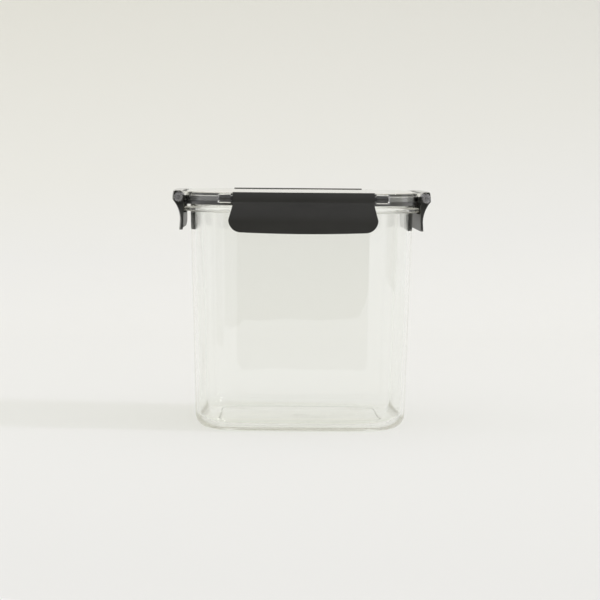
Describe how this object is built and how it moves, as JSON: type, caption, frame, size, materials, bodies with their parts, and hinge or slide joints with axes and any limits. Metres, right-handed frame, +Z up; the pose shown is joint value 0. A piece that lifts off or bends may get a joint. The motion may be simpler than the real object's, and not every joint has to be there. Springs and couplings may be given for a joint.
{
  "type": "food canister",
  "caption": "Clear square food canister with round corners, a clear lid with a black seal, and a black hinged latch on each side that hooks under the jar's bead.",
  "frame": {"origin": "middle of the base, on the surface that the canister stands on", "axes": "+Z up, out of the jar's mouth; -Y to the front; each side has a latch and the four sides are alike"},
  "size_m": [0.14, 0.14, 0.1266],
  "materials": {
    "clear_plastic": "clear, polished, injection moulded copolyester",
    "seal_rubber": "matte black silicone",
    "latch_plastic": "black moulded plastic, satin gloss",
    "pin_steel": "black-coated steel rod"
  },
  "bodies": {
    "jar": {"jar": "clear_plastic"},
    "lid": {"lid": "clear_plastic", "seal": "seal_rubber", "hinge_pin_front": "pin_steel", "hinge_pin_right": "pin_steel", "hinge_pin_back": "pin_steel", "hinge_pin_left": "pin_steel"},
    "latch_front": {"latch_front": "latch_plastic"},
    "latch_right": {"latch_right": "latch_plastic"},
    "latch_back": {"latch_back": "latch_plastic"},
    "latch_left": {"latch_left": "latch_plastic"}
  },
  "joints": [
    {"name": "lid_lift", "type": "slide", "parent": "jar", "child": "lid", "axis": [0, 0, 1], "range_m": [0, 0.14]},
    {"name": "latch_front_hinge", "type": "hinge", "parent": "lid", "child": "latch_front", "pos_m": [0, -0.0657, 0.12335], "axis": [-1, 0, 0], "range_deg": [0, 90]},
    {"name": "latch_right_hinge", "type": "hinge", "parent": "lid", "child": "latch_right", "pos_m": [0.0657, 0, 0.12335], "axis": [0, -1, 0], "range_deg": [0, 90]},
    {"name": "latch_back_hinge", "type": "hinge", "parent": "lid", "child": "latch_back", "pos_m": [0, 0.0657, 0.12335], "axis": [1, 0, 0], "range_deg": [0, 90]},
    {"name": "latch_left_hinge", "type": "hinge", "parent": "lid", "child": "latch_left", "pos_m": [-0.0657, 0, 0.12335], "axis": [0, 1, 0], "range_deg": [0, 90]}
  ]
}
